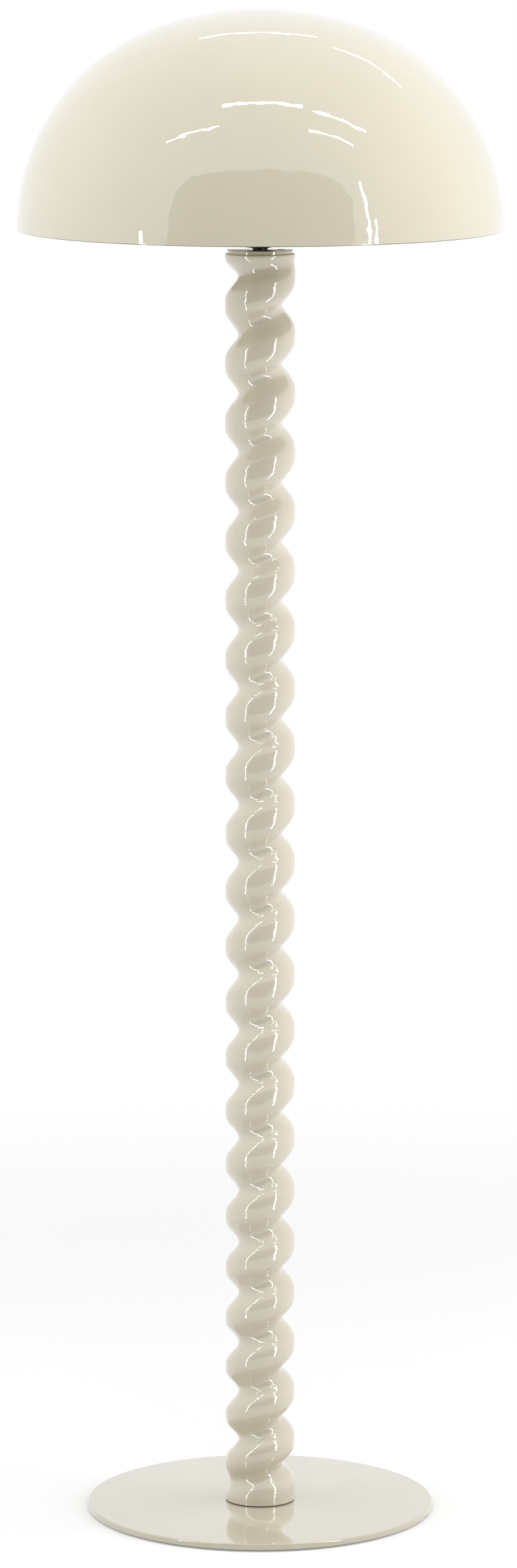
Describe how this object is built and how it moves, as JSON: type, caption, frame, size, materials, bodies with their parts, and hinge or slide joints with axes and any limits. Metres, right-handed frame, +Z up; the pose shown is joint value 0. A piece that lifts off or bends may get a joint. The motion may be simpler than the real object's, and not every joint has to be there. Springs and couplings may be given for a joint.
{
  "type": "mushroom floor lamp",
  "caption": "Floor lamp with a spun metal dome shade on a barley-twist wooden column over a round steel base.",
  "frame": {"origin": "centre of the underside of the floor pad, where the lamp stands on the floor", "axes": "+Z up along the column, the front towards -Y, the lead inlet at the back towards +Y"},
  "size_m": [0.4999, 0.5, 1.572],
  "materials": {
    "foam": "matte closed-cell foam",
    "lacquered_steel": "gloss lacquer",
    "lacquered_shade": "gloss lacquer on the outside, the same inside",
    "lacquered_wood": "opaque gloss lacquer",
    "white_steel": "gloss lacquer",
    "zinc_steel": "bright zinc",
    "brass": "plain",
    "nickel_brass": "nickel plated",
    "black_plastic": "satin thermoset",
    "ceramic": "glazed steatite",
    "black_glass": "black vitrite",
    "opal_glass": "opal"
  },
  "bodies": {
    "lamp_stand": {"floor_pad": "foam", "base_plate": "lacquered_steel", "column_screws": "zinc_steel", "column_inserts": "brass", "column": "lacquered_wood", "cable_bush": "black_plastic", "top_plate": "lacquered_steel", "top_plate_screws": "zinc_steel", "holder_nipple": "zinc_steel", "lock_washer": "zinc_steel", "nipple_locknut": "zinc_steel", "holder_cap": "black_plastic", "holder_sleeve": "black_plastic", "holder_insert": "ceramic", "terminal_screws": "brass", "screw_shell": "nickel_brass", "centre_contact": "brass", "lower_shade_ring": "black_plastic"},
    "shade": {"shade_dome": "lacquered_shade", "spider_ring": "white_steel", "spider_arms": "white_steel", "spider_tabs": "white_steel"},
    "shade_clamp": {"upper_shade_ring": "black_plastic"},
    "bulb": {"bulb_contact": "brass", "bulb_insulator": "black_glass", "bulb_cap": "nickel_brass", "bulb_glass": "opal_glass"}
  },
  "joints": [
    {"name": "shade_turn", "type": "hinge", "parent": "lamp_stand", "child": "shade", "pos_m": [0, 0, 1.36115], "axis": [0, 0, 1], "continuous": true},
    {"name": "shade_ring_turn", "type": "hinge", "parent": "lamp_stand", "child": "shade_clamp", "pos_m": [0, 0, 1.3658], "axis": [0, 0, 1], "range_deg": [0, 3240]},
    {"name": "bulb_turn", "type": "hinge", "parent": "lamp_stand", "child": "bulb", "pos_m": [0, 0, 1.3843], "axis": [0, 0, 1], "range_deg": [0, 1440]}
  ]
}
